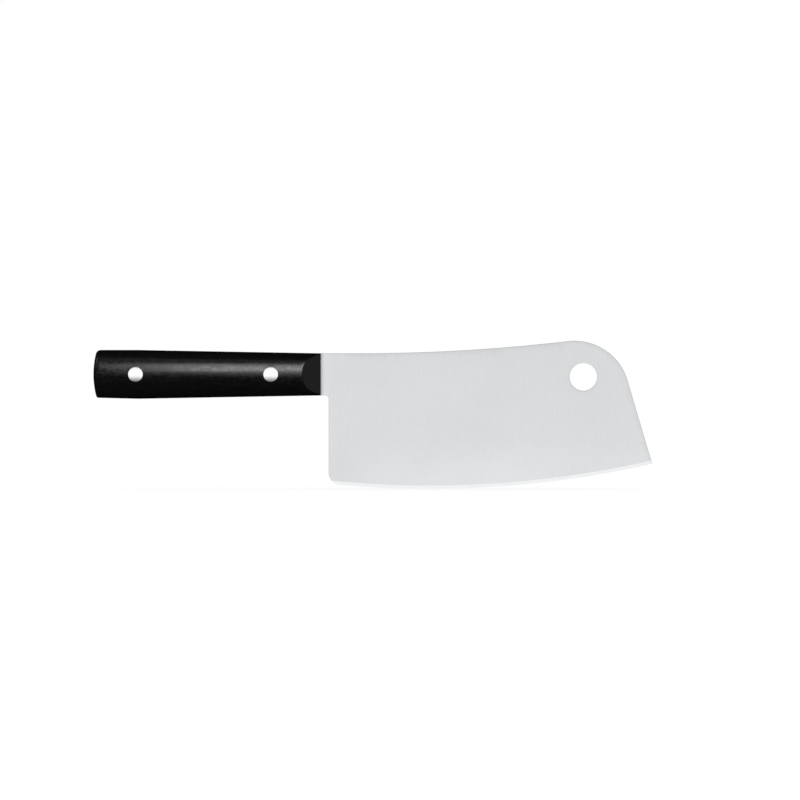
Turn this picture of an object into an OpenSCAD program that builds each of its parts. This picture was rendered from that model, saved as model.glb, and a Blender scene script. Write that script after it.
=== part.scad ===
// Kitchen cleaver: a full-tang blade between two handle scales, held by two cutlery rivets.
// It stands on its edge, as on a board: +X runs to the tip, +Z to the spine and Y across the
// blade. The origin is the middle of the overall length, on the plane that the edge touches.

/* [Blade outline] */
// Length of the blade, from the front of the handle to the tip
blade_l = 180; // [160:1:220]
// Height of the spine at the handle, above the lowest point of the edge
spine_h = 73.6; // [66:0.1:90]
// Rise of the nose's crest above the spine at the handle
crest_rise = 6.8; // [3:0.1:12]
// Radius of the nose, between the hollowed spine and the straight front
nose_r = 30.3; // [20:0.1:36]
// Radius of the long hollow along the spine
hollow_r = 982; // [700:1:1400]
// Lean of the straight front, in degrees back from upright
front_lean = 16.6; // [8:0.1:24]
// Radius of the curved cutting edge
edge_r = 543; // [400:1:800]
// Distance from the front of the handle to the lowest point of the edge
edge_low_l = 59; // [40:1:80]
// Distance from the front of the handle to the straight heel
neck_l = 4.3; // [3:0.1:10]
// Radius of the heel's lower corner
heel_r = 6.5; // [1:0.1:8]
// Radius of the fillet between the neck's underside and the heel
neck_fillet_r = 1.5; // [0.5:0.1:2.5]

/* [Blade section] */
// Thickness of the tang, the neck and the spine
spine_t = 3.2; // [2.4:0.1:5]
// Height of the ground faces, measured up from the edge
grind_h = 68; // [40:1:70]
// Thickness of the blade where the cutting bevel starts
shoulder_t = 0.9; // [0.5:0.1:1.6]
// Height of the cutting bevel
bevel_h = 1.8; // [1:0.1:4]
// Width of the flat that is left at the very edge
edge_t = 0.1; // [0.05:0.01:0.3]

/* [Hanging hole] */
// Diameter of the hanging hole
hang_d = 15; // [8:0.1:20]
// Distance of its centre back from the tip
hang_back_l = 37.5; // [34:0.1:60]
// Distance of its centre below the crest
hang_drop = 19.6; // [15:0.1:34]

/* [Handle] */
// Length of the handle
handle_l = 123; // [105:1:140]
// Thickness of the handle across both scales
handle_t = 20; // [17:0.1:26]
// Height of the handle at its front end
front_h = 22.9; // [20:0.1:26]
// Height of the handle at its belly, its tallest place
belly_h = 26.5; // [23:0.1:32]
// Distance from the butt to the belly
belly_l = 24; // [12:1:60]
// Rise of the underside from the belly to the butt
butt_lift = 0.6; // [0:0.1:3]
// Radius of the bowed butt, seen from the side
butt_r = 52; // [35:1:120]
// Radius of the butt's upper corner, seen from the side
butt_top_r = 2.6; // [1:0.1:5]
// Radius of the butt's lower corner, seen from the side
butt_low_r = 1.2; // [0.6:0.1:5]
// Easing of the butt's edges, seen from above
butt_ease = 1.6; // [0.5:0.1:3]
// Radius of the crown across each scale
crown_r = 28; // [18:1:60]
// Radius of the long rounded edges above and below the crown
round_r = 7; // [3:0.1:8]
// Length of the plane bevel at the front of each scale
bevel_l = 10; // [4:0.1:18]
// Thickness of the handle at its very front, between the two bevels
front_t = 11; // [8:0.1:14]

/* [Rivets] */
// Diameter of a rivet head
head_d = 8; // [6:0.1:10]
// Depth of a head below the crown of the scale
head_depth = 3; // [1.5:0.1:4]
// How far a head stands proud of the crown
head_proud = 0.1; // [0:0.05:0.4]
// Diameter of the post's shank
shank_d = 4; // [2:0.1:4.4]
// Outer diameter of the socket's tube
tube_d = 5.6; // [5:0.1:5.8]
// Space between the end of the shank and the bottom of the socket
shank_gap = 0.6; // [0.3:0.1:2]
// Distance from the front of the handle to the front rivet
front_rivet_l = 27; // [16:0.1:40]
// Distance from the butt to the rear rivet
rear_rivet_l = 22.8; // [12:0.1:40]
// Play of the rivets in the scales and in each other, on the radius
rivet_play = 0.02; // [0.01:0.01:0.05]
// Play of the rivets in the tang, on the radius
tang_play = 0.3; // [0.1:0.1:0.8]

/* [Hidden] */

// Facets of the small circles, of the large ones, and of the arcs drawn point by point
$fn = 96;
large_fn = 720;
steps = 10;
// How far a cut runs past the face that it cuts
overrun = 5;
// Thickness of the slices that a scale is drawn over, and how far the heel's corner crosses the edge
sliver = 0.01;
// Overlap of two solids that are joined, and the extra size of one that another trims
trim = 0.05;

// Places along the length, across the handle and up the blade
butt_x = -(handle_l + blade_l) / 2;
front_x = butt_x + handle_l;
tip_x = front_x + blade_l;
heel_x = front_x + neck_l;
half_t = handle_t / 2;
handle_z = spine_h - front_h / 2;
neck_low_z = spine_h - front_h;
crest_z = spine_h + crest_rise;

// Edge and tip, then the straight front, the nose and the hollow, which run into each other
edge_c = [front_x + edge_low_l, edge_r];
tip_z = edge_r - sqrt(edge_r * edge_r - pow(tip_x - edge_c.x, 2));
front_up = [-sin(front_lean), cos(front_lean)];
front_out = [cos(front_lean), sin(front_lean)];
nose_z = crest_z - nose_r;
nose_rise = (nose_z - tip_z + nose_r * front_out.y) / front_up.y;
nose_c = [tip_x, tip_z] + nose_rise * front_up - nose_r * front_out;
front_foot = [tip_x, tip_z] - (tip_z + overrun) / front_up.y * front_up;
hollow_run = sqrt(crest_rise * (2 * (hollow_r + nose_r) - crest_rise));
hollow_c = [nose_c.x - hollow_run, spine_h + hollow_r];

// Belly and butt of the handle, and the rivets
belly_x = butt_x + belly_l;
butt_c = [butt_x + butt_r, handle_z];
front_rivet_x = front_x - front_rivet_l;
rear_rivet_x = butt_x + rear_rivet_l;
head_floor = half_t - head_depth;

// Unit vector at an angle
function unit(angle) = [cos(angle), sin(angle)];

// Points along an arc, from one angle to another
function arc(centre, r, from, to) =
    [for (i = [0:steps]) centre + r * unit(from + (to - from) * i / steps)];

// Angle of the line from one point to another
function heading(a, b) = atan2(b.y - a.y, b.x - a.x);

// Centre of a corner of radius r, inside a circle of radius big and on the inner side of a line.
// The line starts at p and runs at angle run towards the corner, and inward points off it.
function corner(p, run, inward, r, centre, big) =
    let (q = p + r * unit(inward) - centre,
        along = q * unit(run),
        far = q * q - pow(big - r, 2))
    p + r * unit(inward) + (sqrt(along * along - far) - along) * unit(run);

// Stands a flat outline up in the plane of the blade, as a plate from one Y to another
module upright(from, to) {
    translate([0, to, 0])
        rotate([90, 0, 0])
            linear_extrude(to - from)
                children();
}

// Round bar across the blade, from one Y to another
module cross_bar(d, from, to) {
    translate([0, to, 0])
        rotate([90, 0, 0])
            cylinder(d = d, h = to - from);
}

// The part of the plane that lies outside a rounded corner, between two directions from its centre
module corner_waste(centre, r, from, to) {
    reach = 4 * r;
    middle = (from + to) / 2;
    difference() {
        polygon([centre, centre + reach * unit(from),
            centre + reach / cos((to - from) / 2) * unit(middle), centre + reach * unit(to)]);
        translate(centre) circle(r);
    }
}

// Side view of the handle, which the scales and the tang share
module handle_outline() {
    top_z = handle_z + belly_h / 2;
    low_z = handle_z - belly_h / 2;
    slope = heading([belly_x, low_z], [butt_x, low_z + butt_lift]);
    top_c = corner([belly_x, top_z], 180, 270, butt_top_r, butt_c, butt_r);
    low_c = corner([belly_x, low_z], slope, slope - 90, butt_low_r, butt_c, butt_r);
    top_a = heading(butt_c, top_c);
    low_a = heading(butt_c, low_c) + 360;
    polygon(concat(
        [[front_x, handle_z + front_h / 2], [belly_x, top_z]],
        arc(top_c, butt_top_r, 90, top_a),
        arc(butt_c, butt_r, top_a, low_a),
        arc(low_c, butt_low_r, low_a, slope + 90),
        [[belly_x, low_z], [front_x, handle_z - front_h / 2]]));
}

// Side view of the neck, which reaches into the handle and the blade, with the heel's fillet
module neck_outline() {
    fillet_c = [heel_x - neck_fillet_r, neck_low_z - neck_fillet_r];
    translate([front_x - neck_l, neck_low_z])
        square([2 * neck_l + neck_fillet_r, front_h]);
    difference() {
        translate(fillet_c) square(2 * neck_fillet_r);
        translate(fillet_c) circle(neck_fillet_r);
    }
}

// Side view of the blade ahead of the neck, left long below the edge
module blade_outline() {
    heel_c = corner([heel_x, spine_h], 270, 0, heel_r, edge_c, edge_r + sliver);
    hollow_a = heading(nose_c, hollow_c);
    difference() {
        union() {
            polygon([[heel_x, -overrun], front_foot, nose_c + nose_r * front_out, nose_c,
                nose_c + nose_r * unit(hollow_a), [heel_x, crest_z]]);
            translate(nose_c) circle(nose_r, $fn = large_fn);
        }
        translate(hollow_c) circle(hollow_r, $fn = large_fn);
        translate([hollow_c.x - blade_l, spine_h]) square([blade_l, crest_rise + overrun]);
        corner_waste(heel_c, heel_r, 180, heading(edge_c, heel_c) + 360);
    }
}

// Double cone whose rim is the cutting edge, with the cutting bevel turned round it
module ground_wheel() {
    taper = (spine_t - shoulder_t) / 2 / (grind_h - bevel_h);
    shoulder = edge_r - bevel_h;
    half = [[0, shoulder_t / 2 + taper * shoulder], [shoulder, shoulder_t / 2],
        [edge_r, edge_t / 2]];
    other = [for (i = [len(half) - 1:-1:0]) [half[i].x, -half[i].y]];
    translate([edge_c.x, 0, edge_c.y])
        rotate([90, 0, 0])
            rotate_extrude($fn = large_fn)
                polygon(concat(half, other));
}

// What the grinding takes off the plate ahead of the neck, on both faces and below the edge
module grinding_waste() {
    high = crest_z + overrun;
    low = -2 * overrun;
    far = front_foot.x + overrun;
    fillet_z = neck_low_z - neck_fillet_r;
    difference() {
        upright(-spine_t, spine_t)
            polygon([[heel_x, high], [heel_x, fillet_z], [heel_x - overrun, fillet_z],
                [heel_x - overrun, low], [far, low], [far, high]]);
        ground_wheel();
    }
}

// Blade and tang in one piece of steel, with the hanging hole and the two rivet holes
module blade() {
    color("gainsboro")
    difference() {
        upright(-spine_t / 2, spine_t / 2) {
            handle_outline();
            neck_outline();
            blade_outline();
        }
        grinding_waste();
        translate([tip_x - hang_back_l, 0, crest_z - hang_drop])
            cross_bar(hang_d, -overrun, overrun);
        for (x = [front_rivet_x, rear_rivet_x])
            translate([x, 0, handle_z])
                cross_bar(tube_d + 2 * tang_play, -overrun, overrun);
    }
}

// Section of a scale, from the middle outward, for a given half thickness, top and underside
function scale_section(out, top, low) =
    let (crown_y = out - crown_r,
        top_y = crown_y + sqrt(pow(crown_r - round_r, 2) - pow(top - round_r, 2)),
        low_y = crown_y + sqrt(pow(crown_r - round_r, 2) - pow(low - round_r, 2)),
        top_a = atan2(top - round_r, top_y - crown_y),
        low_a = atan2(low - round_r, low_y - crown_y))
    concat([[0, -low]],
        arc([low_y, round_r - low], round_r, -90, -low_a),
        arc([crown_y, 0], crown_r, -low_a, top_a),
        arc([top_y, top - round_r], round_r, top_a, 90),
        [[0, top]]);

// Thin slice of a scale at one place along the handle
module scale_slice(x, out, top, low) {
    translate([x, 0, handle_z])
        rotate([90, 0, 90])
            linear_extrude(sliver)
                polygon(scale_section(out, top, low));
}

// Handle scale on the +Y side: a crowned bar, trimmed to the outline that it shares with the
// tang, bevelled at its front and bored for the rivets
module handle_scale() {
    tall = belly_h / 2 + trim;
    short = front_h / 2 + trim;
    difference() {
        intersection() {
            hull() {
                for (a = [0:30:90])
                    scale_slice(butt_x - trim + butt_ease * (1 - cos(a)),
                        half_t - butt_ease * (1 - sin(a)), tall, tall - butt_lift);
                scale_slice(belly_x, half_t, tall, tall);
                scale_slice(front_x, half_t, short, short);
            }
            upright(spine_t / 2, half_t + overrun) handle_outline();
        }
        front_bevel();
        for (x = [front_rivet_x, rear_rivet_x])
            translate([x, 0, handle_z]) {
                cross_bar(tube_d + 2 * rivet_play, 0, half_t);
                cross_bar(head_d + 2 * rivet_play, head_floor, half_t + overrun);
            }
    }
}

// What the bevel takes off the front of the scale on the +Y side
module front_bevel() {
    fall = (half_t - front_t / 2) / bevel_l;
    linear_extrude(handle_z + belly_h)
        polygon([[front_x - bevel_l - overrun, half_t + fall * overrun],
            [front_x + overrun, front_t / 2 - fall * overrun],
            [front_x + overrun, half_t + fall * overrun]]);
}

// Rivet head on the -Y side, ground to the crown of the scale
module rivet_head() {
    intersection() {
        cross_bar(head_d, -half_t - overrun, -head_floor);
        translate([0, crown_r - half_t, 0])
            rotate([0, 90, 0])
                cylinder(r = crown_r + head_proud, h = 2 * head_d, center = true, $fn = large_fn);
    }
}

// Post half of a rivet, with its head on the -Y side
module rivet_post(x) {
    color("silver")
    translate([x, 0, handle_z]) {
        rivet_head();
        cross_bar(shank_d, -head_floor - trim, head_floor - shank_gap);
    }
}

// Socket half of a rivet, with its head on the +Y side
module rivet_socket(x) {
    color("silver")
    translate([x, 0, handle_z])
        difference() {
            union() {
                mirror([0, 1, 0]) rivet_head();
                cross_bar(tube_d, shank_gap - head_floor, head_floor + trim);
            }
            cross_bar(shank_d + 2 * rivet_play, -head_floor, head_floor);
        }
}

// Scale on the left hand's side
module left_scale() {
    color("#1a1a1b") handle_scale();
}

// Scale on the right hand's side, which the photograph shows
module right_scale() {
    color("#1a1a1b") mirror([0, 1, 0]) handle_scale();
}

// Post of the rivet near the blade
module front_rivet_post() {
    rivet_post(front_rivet_x);
}

// Socket of the rivet near the blade
module front_rivet_socket() {
    rivet_socket(front_rivet_x);
}

// Post of the rivet near the butt
module rear_rivet_post() {
    rivet_post(rear_rivet_x);
}

// Socket of the rivet near the butt
module rear_rivet_socket() {
    rivet_socket(rear_rivet_x);
}

blade();
left_scale();
right_scale();
front_rivet_post();
front_rivet_socket();
rear_rivet_post();
rear_rivet_socket();
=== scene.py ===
"""Looks of the kitchen cleaver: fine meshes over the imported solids, their finishes, and the studio.

The shapes are worked out in millimetres, in the side view's x and z, and become metres as a mesh is
made. An outline is a list of points that runs round with its inside on the left.
"""

from math import atan2, cos, degrees, hypot, pi, radians, sin, sqrt

import bmesh
import bpy
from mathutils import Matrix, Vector
from mathutils.geometry import delaunay_2d_cdt
from mathutils.kdtree import KDTree


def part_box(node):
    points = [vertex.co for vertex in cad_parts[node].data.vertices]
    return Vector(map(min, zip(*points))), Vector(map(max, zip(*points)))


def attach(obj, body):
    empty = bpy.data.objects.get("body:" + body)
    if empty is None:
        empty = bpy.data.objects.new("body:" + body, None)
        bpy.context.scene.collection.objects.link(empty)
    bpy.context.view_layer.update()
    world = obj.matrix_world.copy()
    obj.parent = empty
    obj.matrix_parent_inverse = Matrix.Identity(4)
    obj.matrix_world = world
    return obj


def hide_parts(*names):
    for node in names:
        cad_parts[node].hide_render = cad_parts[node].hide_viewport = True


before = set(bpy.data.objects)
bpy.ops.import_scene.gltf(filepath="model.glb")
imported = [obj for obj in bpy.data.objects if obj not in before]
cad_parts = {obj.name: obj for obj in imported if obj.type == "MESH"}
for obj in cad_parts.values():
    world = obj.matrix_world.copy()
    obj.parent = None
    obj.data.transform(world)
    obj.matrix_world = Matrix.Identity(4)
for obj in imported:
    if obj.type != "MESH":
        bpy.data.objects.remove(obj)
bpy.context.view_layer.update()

MM = 0.001
BODY = "root"


def box_mm(node):
    """Lowest and highest corner of a CAD node, in millimetres"""
    low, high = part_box(node)
    return low / MM, high / MM


BLADE_LOW, BLADE_HIGH = box_mm("blade")
SCALE_LOW, SCALE_HIGH = box_mm("left_scale")
POSTS = {place: box_mm(place + "_rivet_post") for place in ("front", "rear")}

# Overall places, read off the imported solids
BUTT_X = BLADE_LOW.x
TIP_X = BLADE_HIGH.x
CREST_Z = BLADE_HIGH.z
FRONT_X = SCALE_HIGH.x
HALF_SPINE = SCALE_LOW.y
HALF_HANDLE = SCALE_HIGH.y
HANDLE_Z = (SCALE_LOW.z + SCALE_HIGH.z) / 2
HALF_BELLY = (SCALE_HIGH.z - SCALE_LOW.z) / 2
PINS = {place: ((low.x + high.x) / 2, HANDLE_Z) for place, (low, high) in POSTS.items()}
HEAD_R = (POSTS["front"][1].x - POSTS["front"][0].x) / 2

# Outline of the blade
SPINE_Z = 73.6
NOSE_R = 30.3
HOLLOW_R = 982
FRONT_LEAN = 16.6
EDGE_R = 543
EDGE_LOW_L = 59
NECK_L = 4.3
HEEL_R = 6.5
NECK_FILLET_R = 1.5
HANG_R = 7.5
HANG_BACK_L = 37.5
HANG_DROP = 19.6

# Section of the blade. The plunge is the line where the grind runs out at the neck. It leans
# forward up to the spine, and below the neck it runs back by PLUNGE_FALL for each unit down.
GRIND_H = 68
SHOULDER_T = 0.9
BEVEL_H = 1.8
EDGE_T = 0.1
PLUNGE_LEAN = 3.4
PLUNGE_FALL = 3
PLUNGE_W = 1.6

# Handle, and the parts of its outline in order
HALF_FRONT_H = 11.45
BELLY_L = 24
BUTT_LIFT = 0.6
BUTT_R = 52
BUTT_TOP_R = 2.6
BUTT_LOW_R = 1.2
BUTT_EASE = 1.6
CROWN_R = 28
ROUND_R = 7
BEVEL_L = 10
HALF_FRONT_T = 5.5
HANDLE_RUN = ("top", "top_corner", "butt", "low_corner", "low")

# Rivets
HEAD_FLOOR = 7
HEAD_PROUD = 0.1
SHANK_R = 2
TUBE_R = 2.8
SHANK_GAP = 0.6
RIVET_PLAY = 0.02
TANG_HOLE_R = 3.1

# Broken edges, the softened crease round the front bevel, and the gap between scale and tang
SPINE_EASE = 0.25
TANG_EASE = 0.08
FRONT_EASE = 0.25
SEAM_EASE = 0.1
HEAD_EASE = 0.12
CREASE_W = 0.16
SEAM_GAP = 0.005

# Pitches of the meshes, from wide to close, and the share of its pitch that a grid's point wants
# as room
GRID_PITCH = 3.0
OUTLINE_PITCH = 2.0
SCALE_PITCH = 1.6
ROUND_PITCH = 1
PLUNGE_PITCH = 0.7
FINE_PITCH = 0.5
CREASE_PITCH = 0.3
CORNER_PITCH = 0.15
CREASE_STEP = 0.02
GRID_ROOM_SHARE = 0.55

# Steps of arcs and rings and of the search for the crease, and radii of the rings on a rivet head
ARC_STEPS_MIN = 6
EASE_STEPS = 4
BUTT_STEPS = 6
RING_STEPS = 64
CREASE_ROUNDS = 6
HEAD_RINGS = (0.5, 1.2, 2, 2.8, 3.4)

# An outline that moves inward: the sine from which a turn is a sharp corner, the least cosine that
# a move is divided by, and how many moves from a sharp corner its neighbours still slide away
SHARP_TURN = 0.6
MITRE_MIN = 0.3
CORNER_ROOM = 3

# Guide lines in the blade's faces, along the bevel's shoulder and the grind's top: where their arcs
# run, with the angles in degrees, and the room that they leave at the heel and the tip
SHOULDER_FROM_L = 0.6
SHOULDER_TO_L = 1
SHOULDER_SHORT_ANGLE = 0.05
SHOULDER_HEEL_ROOM = 1.5
SHOULDER_TIP_ROOM = 1.2
GRIND_TOP_ANGLES = (262, 282)
GRIND_TOP_HEEL_ROOM = 6
GRIND_TOP_END_X = 92

# Grids in the blade's faces: how far the close one round the plunge reaches back and beyond, the
# middle and half width of the strip that it keeps to itself, and where the tang's wide one ends
PLUNGE_BACK = 1
PLUNGE_ROOM = 3
PLUNGE_MIDDLE_L = 2
PLUNGE_HALF_W = 5
TANG_GRID_BACK = 4
TANG_GRID_RISE = 2

# Zones of a scale: the close points at its front, the sides of the crease, and how far its rounded
# edge reaches inward, at the front, at the butt's lower corner and more with each unit from there
CORNER_L = 4.5
FRONT_ZONE_L = 7
CREASE_SIDE = 0.25
FRONT_REACH = 0.5
LOW_REACH_SHARE = 0.8
REACH_GAIN = 0.15

# Which edges stay sharp, which lie on the bevel's shoulder, which points of a sheet are one, and
# the triangulation's output type for the triangles inside the given edges
SHARP_ANGLE = radians(38)
SHOULDER_TOLERANCE = 0.02
MERGE_TOLERANCE = 1e-5
INSIDE_EDGES = 1

# Places and sizes that follow from these
HEEL_X = FRONT_X + NECK_L
NECK_LOW_Z = HANDLE_Z - HALF_FRONT_H
NECK_HIGH_Z = HANDLE_Z + HALF_FRONT_H
EDGE_C = (FRONT_X + EDGE_LOW_L, BLADE_LOW.z + EDGE_R)
TIP_Z = EDGE_C[1] - sqrt(EDGE_R**2 - (TIP_X - EDGE_C[0]) ** 2)
BELLY_X = BUTT_X + BELLY_L
BUTT_C = (BUTT_X + BUTT_R, HANDLE_Z)
INNER_Y = HALF_SPINE + SEAM_GAP
HEAD_BORE_R = HEAD_R + RIVET_PLAY
TUBE_BORE_R = TUBE_R + RIVET_PLAY
HANG_C = (TIP_X - HANG_BACK_L, CREST_Z - HANG_DROP)

# Finishes. A noise is its features a metre along X, Y and Z, and its detail. Roughness is given for
# the low and the high end of a noise's usual range, and relief in metres. The colour sockets of a
# mix node go by number.
WHITE = (1, 1, 1, 1)
NO_COLOUR = (0, 0, 0, 1)
NOISE_LOW, NOISE_HIGH = 0.3, 0.7
CLOUD_ROUGH = (-0.02, 0.02)
MIX_A, MIX_B, MIX_RESULT = 6, 7, 2

# Faces of the blade: the brushing, clouds, and a few brighter strokes
BRUSH = ((7000, 7000, 90), 2)
BLADE_CLOUD = ((22, 22, 22), 2)
STROKES = ((60, 60, 2600), 2)
STROKES_TURN = (0, radians(28), 0)
STROKES_SPAN = (0.70, 0.76)
STEEL_DARK = (0.698, 0.713, 0.729)
STEEL_LIGHT = (0.744, 0.757, 0.768)
STEEL_BRUSHED = (0.68, 0.695, 0.71)
STEEL_STROKE = (0.80, 0.81, 0.82)
BRUSH_SHARE = 0.2
STROKES_SHARE = 0.15
BRUSH_ROUGH = (0.20, 0.30)
STROKES_ROUGH = -0.06
BRUSH_RELIEF = 0.0000025

# Tone of the blade, painted by place: painted shade just ahead of the scales, where the steel would
# mirror their black fronts, none in the tang, and a painted brighter reflection low on the blade near
# the edge
NECK_SHADE_L = 8
NECK_SHADE_TONES = (
    (0, 0.40),
    (0.05, 0.7),
    (0.14, 0.87),
    (0.21, 0.94),
    (0.30, 0.985),
    (0.6, 0.985),
    (0.9, 0.96),
    (1, 0.96),
)
TANG_SHADE_FADE_L = 0.6
# Painted brighter reflection: how much lighter the steel is low on the blade, the heights over which
# that fades, and where it starts ahead of the heel
EDGE_PAINTED_SHEEN = 0.06
EDGE_SHEEN_Z = (6, 26)
EDGE_SHEEN_AHEAD = (6, 30)

# Cutting bevel: the honing, and wear
HONE = ((9000, 9000, 900), 2)
WEAR = ((160, 160, 160), 3)
HONED_DARK = (0.83, 0.84, 0.85)
HONED_LIGHT = (0.87, 0.88, 0.89)
HONE_ROUGH = (0.14, 0.22)
WEAR_ROUGH = (-0.03, 0.05)
HONE_RELIEF = 0.000003

# Scales: the grain, pores, clouds and a mottle
GRAIN = ((110, 2600, 2600), 4)
PORES = ((500, 1800, 1800), 2)
WOOD_CLOUD = ((35, 60, 60), 3)
MOTTLE = ((450, 520, 520), 2)
MOTTLE_SPAN = (0.38, 0.62)
BLACK_DARK = (0.0014, 0.0014, 0.0014)
BLACK_LIGHT = (0.003, 0.003, 0.003)
GRAIN_ROUGH = (0.12, 0.15)
PORES_ROUGH = (0, 0.03)
MOTTLE_ROUGH = (0, 0.09)
PORES_SHARE = 0.5
GRAIN_RELIEF = 0.00001

# Rivets: the lines of the sanding and a haze, and the painted shade of a head: a dark crescent at its
# lowest point that fades upward
SANDING = ((300, 9000, 9000), 2)
HAZE = ((500, 500, 500), 3)
RIVET_DARK = (0.92, 0.925, 0.93)
RIVET_LIGHT = (0.98, 0.98, 0.98)
SANDING_ROUGH = (0.10, 0.18)
HAZE_ROUGH = (-0.02, 0.04)
SANDING_RELIEF = 0.000002
HEAD_SHADE_TONES = ((0, 0.16), (0.2, 0.3), (0.47, 0.6), (0.74, 0.92), (0.88, 1), (1, 1))

# Floor: half its side in metres, its tone, and the light of its own that keeps it pale
FLOOR_HALF = 60.0
FLOOR_TONE = 0.25
FLOOR_GLOW = 0.76

# Dome, in metres. Its glow is a sum of three ramps by height, times one by the distance from its
# middle along X. Each is two places, as shares of the radius, and the glow up to and beyond them.
DOME_R = 0.8
DOME_STEPS = 64
SKY_GLOW = (0.25, 0.5, 1.06, 0.45)
CEILING_GLOW = (0.85, 0.97, 0.0, 0.45)
GROUND_GLOW = (-0.9, -0.45, -0.3, 0.0)
SIDE_GLOW = (0.24, 0.85, 1.0, 0.6)

# Lamps of the left scale, in metres. They face the grip. Each has its name, whether the right
# scale's one is turned round and not mirrored, its place (x from the grip, y and z from the
# origin), its width and height, and its watts.
GRIP = (-0.045, 0, 0.064)
HANDLE_LIGHTS = (
    ("key", False, (0.028, 0.6, 0.187), (0.222, 0.11), 0.525),
    ("upper", False, (0.022, 0.6, 0.28), (0.285, 0.09), 0.29),
    ("lower", False, (0.05, 0.6, 0.08), (0.22, 0.08), 0.06),
    ("halo", False, (0.022, 0.5, 0.43), (0.30, 0.27), 0.065),
    ("fill", False, (0.445, 0.42, 0.07), (0.30, 0.30), 0.08),
    ("near", True, (0.5, 0.5, 0.50), (0.36, 0.24), 2.8),
    ("far", True, (-0.5, 0.5, 0.60), (0.30, 0.20), 0.6),
)

# Camera: millimetres to a pixel of the photograph, its side, the pixel of the origin, and the lens
PIXEL = 0.5428
IMAGE_SIDE = 800
ORIGIN_PIXEL = (373.25, 488.9)
LENS = 300.0
SENSOR = 36.0
CLIP_END = 100


# Plane geometry


def polar(centre, r, angle):
    """Point at an angle, in degrees, round a centre"""
    return centre[0] + r * cos(radians(angle)), centre[1] + r * sin(radians(angle))


def heading(a, b):
    """Angle of the line from a to b, in degrees"""
    return degrees(atan2(b[1] - a[1], b[0] - a[0]))


def run(a, b, pitch=OUTLINE_PITCH):
    """Points from a to b, without b"""
    across, up = b[0] - a[0], b[1] - a[1]
    count = max(1, round(hypot(across, up) / pitch))
    return [(a[0] + across * i / count, a[1] + up * i / count) for i in range(count)]


def bend(centre, r, start, end, pitch=OUTLINE_PITCH):
    """Points round an arc from one angle to another, without the last"""
    count = max(ARC_STEPS_MIN, round(abs(radians(end - start)) * r / pitch))
    return [polar(centre, r, start + (end - start) * i / count) for i in range(count)]


def ring(centre, r):
    """Points of a full circle"""
    return [polar(centre, r, 360 * i / RING_STEPS) for i in range(RING_STEPS)]


def hole(centre, r):
    """Points of a full circle, as the outline of a hole"""
    return list(reversed(ring(centre, r)))


def corner(p, along, inward, r, centre, big):
    """Centre of a corner of radius r, inside a big circle and on the inward side of a line by p"""
    start = polar(p, r, inward)
    q = (start[0] - centre[0], start[1] - centre[1])
    step = polar((0, 0), 1, along)
    near = q[0] * step[0] + q[1] * step[1]
    far = q[0] ** 2 + q[1] ** 2 - (big - r) ** 2
    return polar(start, sqrt(near**2 - far) - near, along)


def inset(points, distances):
    """A closed outline, moved inward by a distance at each point"""
    moves, corners = [], []
    for i, (x, z) in enumerate(points):
        before, after = points[i - 1], points[(i + 1) % len(points)]
        a = Vector((x - before[0], z - before[1])).normalized()
        b = Vector((after[0] - x, after[1] - z)).normalized()
        middle = (a + b).normalized()
        inward = Vector((-middle.y, middle.x))
        moves.append(inward * distances[i] / max(MITRE_MIN, middle.dot(b)))
        if a.cross(b) > SHARP_TURN:
            corners.append(i)
    for k in corners:
        for way in (1, -1):
            slide_off(points, moves, k, way, CORNER_ROOM * distances[k])
    return [(x + move.x, z + move.y) for (x, z), move in zip(points, moves)]


def slide_off(points, moves, k, way, room):
    """Slides points away from an outline's corner k, so that they don't cross over as they move"""
    pull, far, i = moves[k].copy(), 0, k
    while True:
        after = (i + way) % len(points)
        step = Vector(points[after]) - Vector(points[i])
        far += step.length
        if far >= room:
            return
        side = step.normalized()
        moves[after] += side * pull.dot(side) * (1 - far / room)
        i = after


# Outlines


def handle_stretches(front, belly):
    """A long side of the handle, in three stretches from its front with wider and wider pitches"""

    def behind(away):
        share = away / (FRONT_X - BELLY_X)
        return front[0] - away, front[1] + (belly[1] - front[1]) * share

    ends = [front, behind(CORNER_L), behind(BEVEL_L), belly]
    return list(zip(ends, ends[1:], (CORNER_PITCH, FINE_PITCH, OUTLINE_PITCH)))


def handle_parts():
    """Outline of the handle from the top of its front round the butt to the bottom of its front, in
    the parts of HANDLE_RUN, and the centre of its lower corner"""
    top_z, low_z = HANDLE_Z + HALF_BELLY, HANDLE_Z - HALF_BELLY
    belly_top, belly_low = (BELLY_X, top_z), (BELLY_X, low_z)
    slope = heading(belly_low, (BUTT_X, low_z + BUTT_LIFT))
    top_c = corner(belly_top, 180, 270, BUTT_TOP_R, BUTT_C, BUTT_R)
    low_c = corner(belly_low, slope, slope - 90, BUTT_LOW_R, BUTT_C, BUTT_R)
    top_a, low_a = heading(BUTT_C, top_c), heading(BUTT_C, low_c) + 360
    top_end, low_start = polar(top_c, BUTT_TOP_R, 90), polar(low_c, BUTT_LOW_R, slope + 90)
    top, low = [], run(low_start, belly_low, ROUND_PITCH)
    for a, b, pitch in handle_stretches((FRONT_X, NECK_HIGH_Z), belly_top):
        top += run(a, b, pitch)
    for a, b, pitch in reversed(handle_stretches((FRONT_X, NECK_LOW_Z), belly_low)):
        low += run(b, a, pitch)
    return {
        "top": top + run(belly_top, top_end, ROUND_PITCH),
        "top_corner": bend(top_c, BUTT_TOP_R, 90, top_a, FINE_PITCH),
        "butt": bend(BUTT_C, BUTT_R, top_a, low_a, ROUND_PITCH),
        "low_corner": bend(low_c, BUTT_LOW_R, low_a, slope + 90, FINE_PITCH / 2),
        "low": low,
        "low_centre": low_c,
    }


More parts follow.
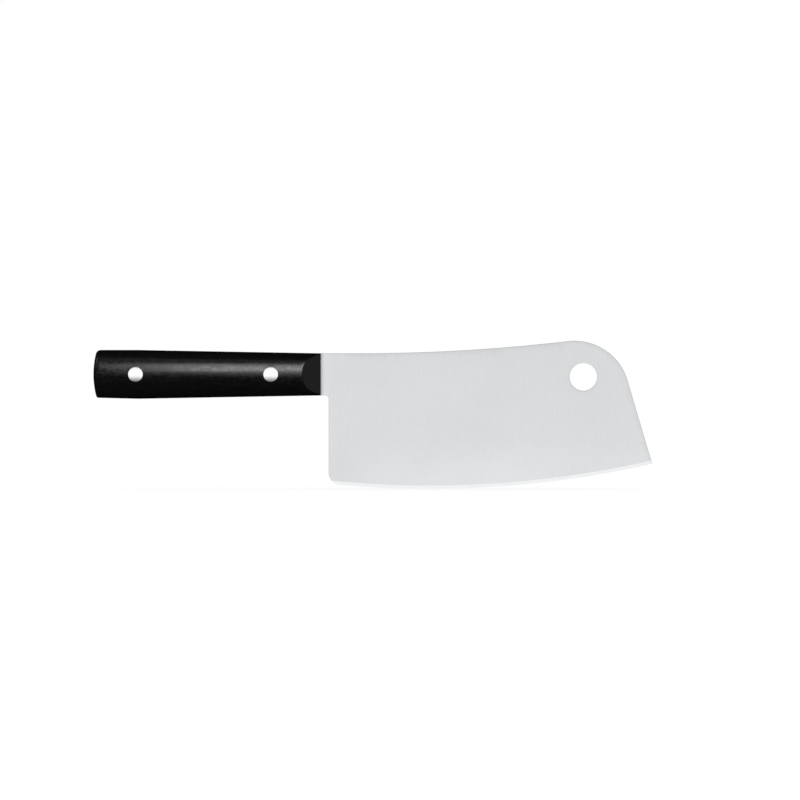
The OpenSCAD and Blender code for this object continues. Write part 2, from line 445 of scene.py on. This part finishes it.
def blade_outline():
    """Outline of the blade and tang, with the radius of the broken edge at each point"""
    lean = radians(FRONT_LEAN)
    nose_z = CREST_Z - NOSE_R
    rise = (nose_z - TIP_Z + NOSE_R * sin(lean)) / cos(lean)
    nose_c = (TIP_X - rise * sin(lean) - NOSE_R * cos(lean), nose_z)
    lift = CREST_Z - SPINE_Z
    hollow_c = (nose_c[0] - sqrt(lift * (2 * (HOLLOW_R + NOSE_R) - lift)), SPINE_Z + HOLLOW_R)
    join_a = heading(nose_c, hollow_c)
    heel_c = corner((HEEL_X, SPINE_Z), 270, 0, HEEL_R, EDGE_C, EDGE_R)
    fillet_c = (HEEL_X - NECK_FILLET_R, NECK_LOW_Z - NECK_FILLET_R)
    heel_a = heading(EDGE_C, heel_c) + 360
    tip_a = heading(EDGE_C, (TIP_X, TIP_Z)) + 360
    parts = handle_parts()
    front = run((TIP_X, TIP_Z), polar(nose_c, NOSE_R, FRONT_LEAN))
    nose = bend(nose_c, NOSE_R, FRONT_LEAN, join_a, ROUND_PITCH)
    hollow = bend(hollow_c, HOLLOW_R, join_a + 180, 270)
    spine = run((hollow_c[0], SPINE_Z), (FRONT_X, SPINE_Z))
    tang = sum((parts[name] for name in HANDLE_RUN), [])
    neck = run((FRONT_X, NECK_LOW_Z), (fillet_c[0], NECK_LOW_Z), FINE_PITCH)
    fillet = bend(fillet_c, NECK_FILLET_R, 90, 0, FINE_PITCH / 2)
    heel = run((HEEL_X, fillet_c[1]), (HEEL_X, heel_c[1]))
    heel_round = bend(heel_c, HEEL_R, 180, heel_a, FINE_PITCH)
    edge = bend(EDGE_C, EDGE_R, heel_a, tip_a)
    eased = front + nose + hollow + spine
    points = eased + tang + neck + fillet + heel + heel_round + edge
    eases = [SPINE_EASE] * len(eased) + [TANG_EASE] * len(tang)
    eases += [SPINE_EASE] * (len(neck) + len(fillet) + len(heel))
    eases += [SPINE_EASE * (1 - i / len(heel_round)) for i in range(len(heel_round))]
    eases += [0] * len(edge)
    eases[0] = 0
    return points, eases


def scale_outline():
    """Outline of a scale, with the easing of its outer edge and how far that reaches inward"""
    parts = handle_parts()
    low_c = parts["low_centre"]
    low, high = (FRONT_X, NECK_LOW_Z), (FRONT_X, NECK_HIGH_Z)
    low_end = (FRONT_X, NECK_LOW_Z + CORNER_L / 2)
    high_start = (FRONT_X, NECK_HIGH_Z - CORNER_L / 2)
    front = run(low, low_end, CORNER_PITCH)
    front += run(low_end, high_start, FINE_PITCH)
    front += run(high_start, high, CORNER_PITCH)
    points, eases, reaches = [], [], []
    for name in HANDLE_RUN:
        count = len(parts[name])
        grown = {
            "top_corner": range(count),
            "butt": [count] * count,
            "low_corner": range(count, 0, -1),
        }
        points += parts[name]
        eases += [BUTT_EASE * i / count for i in grown.get(name, [0] * count)]
    points += front
    eases += [FRONT_EASE] * len(front)
    for i, (x, z) in enumerate(points):
        away = max(0, hypot(x - low_c[0], z - low_c[1]) - BUTT_LOW_R)
        reach = min(BUTT_EASE, BUTT_LOW_R * LOW_REACH_SHARE + away * REACH_GAIN)
        ahead = min(1, max(0, (x - FRONT_X + 2 * FRONT_ZONE_L) / FRONT_ZONE_L))
        reach += (FRONT_REACH - reach) * ahead
        reaches.append(reach)
        eases[i] = min(eases[i], reach)
    return points, eases, reaches


# Surfaces: how far each lies from the blade's mid-plane


def above_edge(x, z):
    """Height above the cutting edge, along the grind"""
    return EDGE_R - hypot(x - EDGE_C[0], z - EDGE_C[1])


def past_plunge(x, z):
    """Distance past the line where the grind runs out at the neck"""
    line = HEEL_X + PLUNGE_LEAN * (z - NECK_LOW_Z) / (SPINE_Z - NECK_LOW_Z)
    return x - line + PLUNGE_FALL * max(0, NECK_LOW_Z - z)


def blade_half(x, z):
    """Half thickness of the blade and tang"""
    high = above_edge(x, z)
    if high < BEVEL_H:
        return (EDGE_T + (SHOULDER_T - EDGE_T) * max(0, high) / BEVEL_H) / 2
    taper = (HALF_SPINE - SHOULDER_T / 2) * (high - BEVEL_H) / (GRIND_H - BEVEL_H)
    share = min(1, max(0, past_plunge(x, z) / PLUNGE_W))
    share = share * share * (3 - 2 * share)
    return HALF_SPINE + (min(SHOULDER_T / 2 + taper, HALF_SPINE) - HALF_SPINE) * share


def half_height(x):
    """Half height of the handle, which falls from its belly to its front"""
    share = min(1, max(0, (x - BELLY_X) / (FRONT_X - BELLY_X)))
    return HALF_BELLY + (HALF_FRONT_H - HALF_BELLY) * share


def section(x, z):
    """Crowned section of a scale"""
    up = z - HANDLE_Z
    reach = half_height(x)
    if up < 0 and x < BELLY_X:
        reach -= BUTT_LIFT * (BELLY_X - x) / BELLY_L
    rise = reach - ROUND_R
    centre = HALF_HANDLE - CROWN_R
    round_y = centre + sqrt((CROWN_R - ROUND_R) ** 2 - rise**2)
    if abs(up) > CROWN_R * rise / (CROWN_R - ROUND_R):
        return round_y + sqrt(max(0, ROUND_R**2 - (abs(up) - rise) ** 2))
    return centre + sqrt(CROWN_R**2 - up**2)


def bevel(x):
    """Plane bevel at the front of a scale"""
    return HALF_FRONT_T + (HALF_HANDLE - HALF_FRONT_T) * (FRONT_X - x) / BEVEL_L


def scale_out(x, z):
    """Outer face of a scale, a smooth minimum of the crown and the bevel"""
    a, b = section(x, z), bevel(x)
    near = max(CREASE_W - abs(a - b), 0) / CREASE_W
    return min(a, b) - near * near * CREASE_W / 4


def on_side(side, half):
    """The surface on one side of the mid-plane, as far from it as half gives"""
    return lambda x, z: side * half(x, z)


# Meshes


class Shell:
    """A closed mesh, put together from points in millimetres"""

    def __init__(self):
        self.points, self.faces = [], []

    def add(self, points):
        """Adds points and returns their numbers"""
        first = len(self.points)
        self.points += points
        return list(range(first, len(self.points)))

    def level(self, flat, y):
        """Adds points of the side view, all at one distance from the mid-plane"""
        return self.add([(x, y, z) for x, z in flat])

    def drape(self, flat, out):
        """Adds points of the side view, each on the surface that out gives"""
        return self.add([(x, out(x, z), z) for x, z in flat])

    def bands(self, *rings):
        """Quads between closed rings of points, each joined to the next"""
        for a, b in zip(rings, rings[1:]):
            for i in range(len(a)):
                j = (i + 1) % len(a)
                self.faces.append((a[i], a[j], b[j], b[i]))

    def cap(self, a):
        """Closes a ring of points"""
        self.faces.append(tuple(a))

    def sheet(self, loops, holes, lines, scatter, out):
        """Triangles between the first loop and the round holes, on the surface that out gives"""
        flat, number, edges = [], [], []
        for loop in loops:
            first = len(flat)
            flat += [(self.points[i][0], self.points[i][2]) for i in loop]
            number += loop
            edges += [(first + i, first + (i + 1) % len(loop)) for i in range(len(loop))]
        for line in lines:
            first = len(flat)
            flat += line
            number += [None] * len(line)
            edges += [(first + i, first + i + 1) for i in range(len(line) - 1)]
        tree = KDTree(len(flat))
        for i, (x, z) in enumerate(flat):
            tree.insert((x, z, 0), i)
        tree.balance()
        for x, z, gap in scatter:
            if tree.find((x, z, 0))[2] > gap:
                flat.append((x, z))
                number.append(None)
        coords = [Vector(p) for p in flat]
        made = delaunay_2d_cdt(coords, edges, [], INSIDE_EDGES, MERGE_TOLERANCE)
        spots, triangles, origins = made[0], made[2], made[3]
        place = {}
        for triangle in triangles:
            middle = sum((spots[i] for i in triangle), Vector((0, 0))) / 3
            if any((middle - Vector(c)).length < r for c, r in holes):
                continue
            for i in triangle:
                if i not in place:
                    known = [number[o] for o in origins[i] if number[o] is not None]
                    place[i] = known[0] if known else self.drape([spots[i]], out)[0]
            self.faces.append(tuple(place[i] for i in triangle))

    def piece(self, name, node, slot, materials, zone=None, crease=None):
        """Makes the mesh an object that stands for a CAD node"""
        mesh = bpy.data.meshes.new(name)
        mesh.from_pydata([(x * MM, y * MM, z * MM) for x, y, z in self.points], [], self.faces)
        work = bmesh.new()
        work.from_mesh(mesh)
        loose = [v for v in work.verts if not v.link_faces]
        bmesh.ops.delete(work, geom=loose, context="VERTS")
        bmesh.ops.recalc_face_normals(work, faces=work.faces)
        for face in work.faces:
            face.smooth = True
            if zone:
                face.material_index = zone(face.calc_center_median() / MM)
        for edge in work.edges:
            angle = edge.calc_face_angle(0)
            edge.smooth = angle < SHARP_ANGLE and not (crease and crease(edge))
        work.to_mesh(mesh)
        work.free()
        for material in materials:
            mesh.materials.append(material)
        made = bpy.data.objects.new(name, mesh)
        bpy.context.scene.collection.objects.link(made)
        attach(made, BODY)
        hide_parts(node)
        return made


def lattice(low_x, high_x, low_z, high_z, pitch):
    """Points of a staggered grid, each with the room that it wants"""
    rows = int((high_z - low_z) / pitch) + 1
    columns = int((high_x - low_x) / pitch) + 1
    return [
        (low_x + (i + (j % 2) / 2) * pitch, low_z + j * pitch, pitch * GRID_ROOM_SHARE)
        for j in range(rows)
        for i in range(columns)
    ]


def eased_loops(shell, points, eases, reaches, steps, side, half):
    """Rings of points that round an outline's edge over, from the edge itself inward"""
    loops = []
    for k in range(steps + 1):
        turn = radians(90 * k / steps)
        distances = [r * (1 - cos(turn)) for r in reaches]
        moved = inset(points, distances)
        made = []
        for (x, z), ease, distance in zip(moved, eases, distances):
            left = max(0, ease - distance)
            drop = ease - sqrt(max(0, ease**2 - left**2)) if ease else 0
            made.append((x, side * (half(x, z) - drop), z))
        loops.append(shell.add(made))
    shell.bands(*loops)
    return loops


def guide_lines():
    """Points along the shoulder of the cutting bevel and along the top of the grind"""
    start = heading(EDGE_C, (HEEL_X + SHOULDER_FROM_L, BEVEL_H))
    end = heading(EDGE_C, (TIP_X - SHOULDER_TO_L, TIP_Z)) - SHOULDER_SHORT_ANGLE
    low_x, high_x = HEEL_X + SHOULDER_HEEL_ROOM, TIP_X - SHOULDER_TIP_ROOM
    shoulder = bend(EDGE_C, EDGE_R - BEVEL_H, start, end)
    top = bend(EDGE_C, EDGE_R - GRIND_H, *GRIND_TOP_ANGLES)
    return [
        [p for p in shoulder if low_x < p[0] < high_x],
        [p for p in top if HEEL_X + GRIND_TOP_HEEL_ROOM < p[0] < GRIND_TOP_END_X],
    ]


def blade_scatter():
    """Points inside the blade's faces: close round the plunge, wide ahead of it and wider behind"""
    low_z, high_x = NECK_LOW_Z - PLUNGE_ROOM, HEEL_X + PLUNGE_LEAN + PLUNGE_ROOM
    tang = (BUTT_X, HEEL_X - TANG_GRID_BACK, low_z, SPINE_Z + TANG_GRID_RISE)
    wide = lattice(HEEL_X, TIP_X, 0, CREST_Z, GRID_PITCH) + lattice(*tang, 2 * GRID_PITCH)
    middle_x = HEEL_X + PLUNGE_MIDDLE_L
    kept = [spot for spot in wide if abs(spot[0] - middle_x) > PLUNGE_HALF_W or spot[1] < low_z]
    return lattice(HEEL_X - PLUNGE_BACK, high_x, low_z, SPINE_Z, PLUNGE_PITCH) + kept


def blade_shell():
    """The blade and its tang, with broken edges, a crisp bevel and a soft plunge at the neck"""
    shell = Shell()
    points, eases = blade_outline()
    reaches = [SPINE_EASE] * len(points)
    hang = hole(HANG_C, HANG_R)
    hang_eases = [SPINE_EASE] * len(hang)
    holes = [(HANG_C, HANG_R)] + [(pin, TANG_HOLE_R) for pin in PINS.values()]
    lines, scatter = guide_lines(), blade_scatter()
    walls = []
    for side in (-1, 1):
        out = on_side(side, blade_half)
        rims = eased_loops(shell, points, eases, reaches, EASE_STEPS, side, blade_half)
        lips = eased_loops(shell, hang, hang_eases, hang_eases, EASE_STEPS, side, blade_half)
        bores = [shell.drape(hole(pin, TANG_HOLE_R), out) for pin in PINS.values()]
        shell.sheet([rims[-1], lips[-1]] + bores, holes, lines, scatter, out)
        walls.append([rims[0], lips[0]] + bores)
    for a, b in zip(*walls):
        shell.bands(a, b)
    return shell


def crease_points():
    """Points along the crease, where the bevel lies as far out as the crown"""
    crease = []
    for i in range(int(2 * HALF_FRONT_H / CREASE_STEP)):
        x, z = FRONT_X, NECK_LOW_Z + i * CREASE_STEP
        for _ in range(CREASE_ROUNDS):
            x = FRONT_X - BEVEL_L * (section(x, z) - HALF_FRONT_T) / (HALF_HANDLE - HALF_FRONT_T)
        if not crease or hypot(x - crease[-1][0], z - crease[-1][1]) >= CREASE_PITCH:
            crease.append((x, z))
    return crease


def inside_edge(x, z):
    """Whether a place on a scale lies inside its rounded edge, at the front and the long sides"""
    room = FRONT_REACH + CREASE_PITCH / 2
    return abs(z - HANDLE_Z) < half_height(x) - room and x < FRONT_X - room


def crease_lines():
    """Lines of points along the crease and close on both its sides"""
    crease, lines = crease_points(), []
    for shift in (-CREASE_SIDE, 0, CREASE_SIDE):
        shifted = [polar(a, shift, heading(a, b) + 90) for a, b in zip(crease, crease[1:])]
        lines.append([spot for spot in shifted if inside_edge(*spot)])
    return lines


def scale_scatter():
    """Points inside a scale's outer face, close in the corners of its front and wide elsewhere"""
    reach_up = HALF_FRONT_H - CORNER_L
    return [
        spot
        for pitch, wanted in ((SCALE_PITCH, False), (FINE_PITCH, True))
        for spot in lattice(BUTT_X, FRONT_X, SCALE_LOW.z, SCALE_HIGH.z, pitch)
        if (spot[0] > FRONT_X - FRONT_ZONE_L and abs(spot[1] - HANDLE_Z) > reach_up) == wanted
    ]


def stepped_bore(shell, pin, side):
    """A rivet's hole in a scale, wide for the head and slim for the tube: its rings, inward"""
    wide, slim = hole(pin, HEAD_BORE_R), hole(pin, TUBE_BORE_R)
    rings = [
        shell.drape(wide, on_side(side, scale_out)),
        shell.level(wide, side * HEAD_FLOOR),
        shell.level(slim, side * HEAD_FLOOR),
        shell.level(slim, side * INNER_Y),
    ]
    shell.bands(*rings)
    return rings


def scale_shell(side):
    """A handle scale, crowned and rounded, with a front bevel, eased butt and stepped bores"""
    shell = Shell()
    points, eases, reaches = scale_outline()
    rims = eased_loops(shell, points, eases, reaches, BUTT_STEPS, side, scale_out)
    bores = [stepped_bore(shell, pin, side) for pin in PINS.values()]

    loops = [rims[-1]] + [rings[0] for rings in bores]
    holes = [(pin, HEAD_BORE_R) for pin in PINS.values()]
    shell.sheet(loops, holes, crease_lines(), scale_scatter(), on_side(side, scale_out))

    wall = shell.level(points, side * (HALF_SPINE + SEAM_EASE))
    inner = shell.level(inset(points, [SEAM_EASE] * len(points)), side * INNER_Y)
    shell.bands(rims[0], wall, inner)

    loops = [inner] + [rings[-1] for rings in bores]
    holes = [(pin, TUBE_BORE_R) for pin in PINS.values()]
    coarse = lattice(BUTT_X, FRONT_X, SCALE_LOW.z, SCALE_HIGH.z, 2 * GRID_PITCH)
    shell.sheet(loops, holes, [], coarse, lambda x, z: side * INNER_Y)
    return shell


def rivet_shell(pin, socket):
    """Half of a rivet: a head ground to the crown of the scale, over a shank or a tube"""
    shell = Shell()
    side = 1 if socket else -1
    centre, crown = HALF_HANDLE - CROWN_R, CROWN_R + HEAD_PROUD

    def head_ring(r, drop):
        """Ring on the top of the head, or a little below it"""
        tops = [(x, centre + sqrt(crown**2 - (z - HANDLE_Z) ** 2), z) for x, z in ring(pin, r)]
        return shell.add([(x, side * (top - drop), z) for x, top, z in tops])

    head = [head_ring(r, 0) for r in (*HEAD_RINGS, HEAD_R - HEAD_EASE)]
    for k in range(1, EASE_STEPS + 1):
        turn = radians(90 * k / EASE_STEPS)
        head.append(head_ring(HEAD_R - HEAD_EASE * (1 - sin(turn)), HEAD_EASE * (1 - cos(turn))))
    shell.bands(*head)
    shell.cap(head[0])
    end = HEAD_FLOOR - SHANK_GAP
    stem, bore = TUBE_R if socket else SHANK_R, SHANK_R + RIVET_PLAY
    profile = [(HEAD_R, HEAD_FLOOR), (stem, HEAD_FLOOR)]
    profile += [(stem, HEAD_EASE - end), (stem - HEAD_EASE, -end)]
    if socket:
        profile += [(bore + HEAD_EASE, -end), (bore, HEAD_EASE - end), (bore, HEAD_FLOOR)]
    body = [shell.level(ring(pin, r), side * y) for r, y in profile]
    shell.bands(*body)
    shell.bands(head[-1], body[0])
    shell.cap(body[-1])
    return shell


# Finishes


class Finish:
    """A procedural material, with short ways to add its nodes"""

    def __init__(self, name, **sockets):
        self.material = bpy.data.materials.new(name)
        self.material.use_nodes = True
        self.tree = self.material.node_tree
        self.shader = self.tree.nodes["Principled BSDF"]
        for socket, value in sockets.items():
            self.shader.inputs[socket.replace("_", " ")].default_value = value
        self.place = self.tree.nodes.new("ShaderNodeTexCoord").outputs["Object"]

    def link(self, source, target):
        self.tree.links.new(source, target)

    def noise(self, stretch, detail, turn=(0, 0, 0)):
        """Noise in the frame's own metres, with so many features a metre along each axis"""
        mapping = self.tree.nodes.new("ShaderNodeMapping")
        mapping.inputs["Rotation"].default_value = turn
        mapping.inputs["Scale"].default_value = stretch
        texture = self.tree.nodes.new("ShaderNodeTexNoise")
        texture.inputs["Scale"].default_value = 1.0
        texture.inputs["Detail"].default_value = detail
        self.link(self.place, mapping.inputs["Vector"])
        self.link(mapping.outputs["Vector"], texture.inputs["Vector"])
        return texture.outputs["Fac"]

    def spread(self, value, low, high, start=NOISE_LOW, end=NOISE_HIGH):
        """Maps a value from start..end to low..high"""
        node = self.tree.nodes.new("ShaderNodeMapRange")
        node.inputs["From Min"].default_value = start
        node.inputs["From Max"].default_value = end
        node.inputs["To Min"].default_value = low
        node.inputs["To Max"].default_value = high
        self.link(value, node.inputs["Value"])
        return node.outputs["Result"]

    def math(self, a, b, operation="ADD"):
        """Joins a value and another value or a number, by default as their sum"""
        node = self.tree.nodes.new("ShaderNodeMath")
        node.operation = operation
        self.link(a, node.inputs[0])
        if isinstance(b, (int, float)):
            node.inputs[1].default_value = b
        else:
            self.link(b, node.inputs[1])
        return node.outputs["Value"]

    def blend(self, share, a, b):
        """Colour between a and b, each a colour or another output"""
        node = self.tree.nodes.new("ShaderNodeMix")
        node.data_type = "RGBA"
        self.link(share, node.inputs["Factor"])
        for socket, colour in ((node.inputs[MIX_A], a), (node.inputs[MIX_B], b)):
            if isinstance(colour, tuple):
                socket.default_value = (*colour, 1)
            else:
                self.link(colour, socket)
        return node.outputs[MIX_RESULT]

    def times(self, colour, share):
        """Colour scaled by a value"""
        node = self.tree.nodes.new("ShaderNodeVectorMath")
        node.operation = "SCALE"
        self.link(colour, node.inputs[0])
        self.link(share, node.inputs["Scale"])
        return node.outputs["Vector"]

    def ramp(self, value, stops):
        """Value that runs smoothly through stops, each a place and a value, both from 0 to 1"""
        node = self.tree.nodes.new("ShaderNodeFloatCurve")
        points = node.mapping.curves[0].points
        while len(points) < len(stops):
            points.new(*stops[-1])
        for point, stop in zip(points, stops):
            point.location = stop
        node.mapping.update()
        self.link(value, node.inputs["Value"])
        return node.outputs["Value"]

    def axis(self, name):
        """One coordinate of the place, in metres"""
        node = self.tree.nodes.new("ShaderNodeSeparateXYZ")
        self.link(self.place, node.inputs["Vector"])
        return node.outputs[name]

    def relief(self, height, depth):
        """Bump of a depth in metres"""
        node = self.tree.nodes.new("ShaderNodeBump")
        node.inputs["Strength"].default_value = 1.0
        node.inputs["Distance"].default_value = depth
        self.link(height, node.inputs["Height"])
        self.link(node.outputs["Normal"], self.shader.inputs["Normal"])

    def colour(self, output):
        self.link(output, self.shader.inputs["Base Color"])

    def roughness(self, output):
        self.link(output, self.shader.inputs["Roughness"])


def blade_steel():
    """Satin steel, ground across the blade, cloudy, with a few fine strokes, and with painted shade
    just ahead of the scales and a painted brighter reflection near the edge
    """
    finish = Finish("blade_steel", Metallic=1.0)
    brush, cloud = finish.noise(*BRUSH), finish.noise(*BLADE_CLOUD)
    strokes = finish.spread(finish.noise(*STROKES, turn=STROKES_TURN), 0, 1, *STROKES_SPAN)
    tone = finish.blend(finish.spread(cloud, 0, 1), STEEL_DARK, STEEL_LIGHT)
    tone = finish.blend(finish.spread(brush, 0, BRUSH_SHARE), tone, STEEL_BRUSHED)
    tone = finish.blend(finish.math(strokes, STROKES_SHARE, "MULTIPLY"), tone, STEEL_STROKE)

    x, z = finish.axis("X"), finish.axis("Z")
    # Painted shade: the steel darkens towards the scales' front, standing in for the black scales it
    # mirrors there; the tang behind them keeps its full tone
    front = finish.spread(x, 0, 1, FRONT_X * MM, (FRONT_X + NECK_SHADE_L) * MM)
    tang = finish.spread(x, 1, 0, (FRONT_X - TANG_SHADE_FADE_L) * MM, FRONT_X * MM)
    neck = finish.math(finish.ramp(front, NECK_SHADE_TONES), tang, "MAXIMUM")
    # Painted reflection: the steel a little lighter low on the blade near the edge, fading in ahead
    # of the heel
    low = finish.spread(z, EDGE_PAINTED_SHEEN, 0, *(at * MM for at in EDGE_SHEEN_Z))
    ahead = finish.spread(x, 0, 1, *((HEEL_X + away) * MM for away in EDGE_SHEEN_AHEAD))
    lift = finish.math(finish.math(low, ahead, "MULTIPLY"), 1.0)
    finish.colour(finish.times(finish.times(tone, neck), lift))

    rough = finish.math(finish.spread(brush, *BRUSH_ROUGH), finish.spread(cloud, *CLOUD_ROUGH))
    finish.roughness(finish.math(rough, finish.math(strokes, STROKES_ROUGH, "MULTIPLY")))
    finish.relief(brush, BRUSH_RELIEF)
    return finish.material


def bevel_steel():
    """The cutting bevel, honed finer than the faces"""
    finish = Finish("bevel_steel", Metallic=1.0)
    hone, wear = finish.noise(*HONE), finish.noise(*WEAR)
    finish.colour(finish.blend(finish.spread(hone, 0, 1), HONED_DARK, HONED_LIGHT))
    rough = finish.math(finish.spread(hone, *HONE_ROUGH), finish.spread(wear, *WEAR_ROUGH))
    finish.roughness(rough)
    finish.relief(hone, HONE_RELIEF)
    return finish.material


def handle_black():
    """Black resin-treated hardwood, sanded along its length to a soft satin"""
    finish = Finish("handle_black", Metallic=0.0)
    grain, pores = finish.noise(*GRAIN), finish.noise(*PORES)
    cloud, mottle = finish.noise(*WOOD_CLOUD), finish.noise(*MOTTLE)
    finish.colour(finish.blend(finish.spread(grain, 0, 1), BLACK_DARK, BLACK_LIGHT))
    rough = finish.math(finish.spread(grain, *GRAIN_ROUGH), finish.spread(cloud, *CLOUD_ROUGH))
    rough = finish.math(rough, finish.spread(pores, *PORES_ROUGH))
    finish.roughness(finish.math(rough, finish.spread(mottle, *MOTTLE_ROUGH, *MOTTLE_SPAN)))
    finish.relief(finish.math(grain, finish.math(pores, PORES_SHARE, "MULTIPLY")), GRAIN_RELIEF)
    return finish.material


def rivet_steel():
    """Polished rivet steel, with the fine lines of the sanding along the handle, and painted shade
    that darkens each head towards its lowest point
    """
    finish = Finish("rivet_steel", Metallic=1.0)
    lines, haze = finish.noise(*SANDING), finish.noise(*HAZE)
    tone = finish.blend(finish.spread(lines, 0, 1), RIVET_DARK, RIVET_LIGHT)
    # Painted shade: each head is darkened towards its lowest point, a crescent standing in for a
    # darker reflection there
    low = finish.spread(finish.axis("Z"), 0, 1, (HANDLE_Z - HEAD_R) * MM, HANDLE_Z * MM)
    finish.colour(finish.times(tone, finish.ramp(low, HEAD_SHADE_TONES)))
    rough = finish.math(finish.spread(lines, *SANDING_ROUGH), finish.spread(haze, *HAZE_ROUGH))
    finish.roughness(rough)
    finish.relief(lines, SANDING_RELIEF)
    return finish.material


def floor_white():
    """Matt and pale, with a little light of its own"""
    return Finish(
        "floor_white",
        Metallic=0.0,
        Roughness=1.0,
        Specular_IOR_Level=0.0,
        Base_Color=(FLOOR_TONE, FLOOR_TONE, FLOOR_TONE, 1),
        Emission_Color=WHITE,
        Emission_Strength=FLOOR_GLOW,
    ).material


def dome_white():
    """Glow of the dome: white round the cleaver, greyer elsewhere, and bright again overhead"""
    finish = Finish(
        "dome_white",
        Metallic=0.0,
        Roughness=1.0,
        Specular_IOR_Level=0.0,
        Base_Color=NO_COLOUR,
        Emission_Color=WHITE,
    )

    def glow(value, start, end, low, high):
        made = finish.spread(value, low, high, start * DOME_R, end * DOME_R)
        made.node.interpolation_type = "SMOOTHSTEP"
        return made

    up, aside = finish.axis("Z"), finish.math(finish.axis("X"), 0.0, "ABSOLUTE")
    total = finish.math(glow(up, *SKY_GLOW), glow(up, *CEILING_GLOW))
    total = finish.math(total, glow(up, *GROUND_GLOW))
    total = finish.math(total, glow(aside, *SIDE_GLOW), "MULTIPLY")
    finish.link(total, finish.shader.inputs["Emission Strength"])
    return finish.material


# The pieces


def on_bevel(middle):
    """1 for a face of the cutting bevel, else 0"""
    return 1 if above_edge(middle.x, middle.z) < BEVEL_H else 0


def on_shoulder(edge):
    """Whether an edge lies on the line between the ground face and the cutting bevel"""
    highs = [above_edge(v.co.x / MM, v.co.z / MM) for v in edge.verts]
    return all(abs(high - BEVEL_H) < SHOULDER_TOLERANCE for high in highs)


def cleaver():
    """Makes the seven pieces, and returns the steel ones and the two scales"""
    faces, black, bright = [blade_steel(), bevel_steel()], [handle_black()], [rivet_steel()]
    blade = blade_shell()
    steel = [blade.piece("blade_fine", "blade", "blade_steel", faces, on_bevel, on_shoulder)]
    scales = [
        scale_shell(side).piece(name + "_fine", name, "handle_black", black)
        for name, side in (("left_scale", 1), ("right_scale", -1))
    ]
    for place, pin in PINS.items():
        for half, socket in (("post", False), ("socket", True)):
            node = f"{place}_rivet_{half}"
            rivet = rivet_shell(pin, socket)
            steel.append(rivet.piece(node + "_fine", node, "rivet_steel", bright))
    return steel, scales


# The studio: floor, light and camera


def floor():
    """A wide plain floor under the cutting edge, which the gloss of the pieces doesn't mirror"""
    mesh = bpy.data.meshes.new("floor")
    h = FLOOR_HALF
    mesh.from_pydata([(-h, -h, 0), (h, -h, 0), (h, h, 0), (-h, h, 0)], [], [(0, 1, 2, 3)])
    mesh.materials.append(floor_white())
    made = bpy.data.objects.new("floor", mesh)
    made.visible_glossy = False
    bpy.context.scene.collection.objects.link(made)


def surroundings():
    """Plain white surroundings, which the gloss of the pieces doesn't mirror either"""
    world = bpy.data.worlds.new("studio")
    bpy.context.scene.world = world
    world.use_nodes = True
    background = world.node_tree.nodes["Background"]
    background.inputs["Color"].default_value = WHITE
    background.inputs["Strength"].default_value = 1
    world.cycles_visibility.glossy = False
    bpy.context.scene.view_settings.view_transform = "Standard"


def light_only(lamp, pieces):
    """Lets a lamp light these pieces and nothing else"""
    lit = bpy.data.collections.new(lamp.name)
    for piece in pieces:
        lit.objects.link(piece)
    lamp.light_linking.receiver_collection = lit


def dome(steel):
    """A soft dome that only the steel mirrors, because the black scales turn grey in it"""
    work = bmesh.new()
    rings = DOME_STEPS // 2
    bmesh.ops.create_uvsphere(work, u_segments=DOME_STEPS, v_segments=rings, radius=DOME_R)
    mesh = bpy.data.meshes.new("dome")
    work.to_mesh(mesh)
    work.free()
    mesh.materials.append(dome_white())
    made = bpy.data.objects.new("dome", mesh)
    made.visible_camera = made.visible_diffuse = made.visible_shadow = False
    bpy.context.scene.collection.objects.link(made)
    light_only(made, steel)


def area_light(name, at, target, size, power, piece):
    """A soft rectangular lamp that faces a point and lights one piece"""
    data = bpy.data.lights.new(name, "AREA")
    data.shape = "RECTANGLE"
    data.size, data.size_y = size
    data.energy = power
    made = bpy.data.objects.new(name, data)
    made.location = at
    made.rotation_euler = (Vector(target) - Vector(at)).to_track_quat("-Z", "Y").to_euler()
    bpy.context.scene.collection.objects.link(made)
    light_only(made, [piece])


def handle_lights(scales):
    """Soft lamps on the side of each black scale, which light that scale alone"""
    for scale, side in zip(scales, (1, -1)):
        for name, turned_round, (x, y, z), size, power in HANDLE_LIGHTS:
            at = (GRIP[0] + (side * x if turned_round else x), side * y, z)
            area_light(f"{scale.name}_{name}", at, GRIP, size, power, scale)


def camera():
    """Level camera with a long lens, square to the blade, which shows the photograph's frame"""
    data = bpy.data.cameras.new("camera")
    data.lens = LENS
    data.sensor_width = SENSOR
    data.clip_end = CLIP_END
    made = bpy.data.objects.new("camera", data)
    middle = IMAGE_SIDE / 2
    x, z = (middle - ORIGIN_PIXEL[0]) * PIXEL, (ORIGIN_PIXEL[1] - middle) * PIXEL
    away = IMAGE_SIDE * PIXEL * LENS / SENSOR
    made.location = (x * MM, -away * MM, z * MM)
    made.rotation_euler = (pi / 2, 0, 0)
    bpy.context.scene.collection.objects.link(made)
    bpy.context.scene.camera = made


steel_pieces, scale_pieces = cleaver()
floor()
surroundings()
dome(steel_pieces)
handle_lights(scale_pieces)
camera()
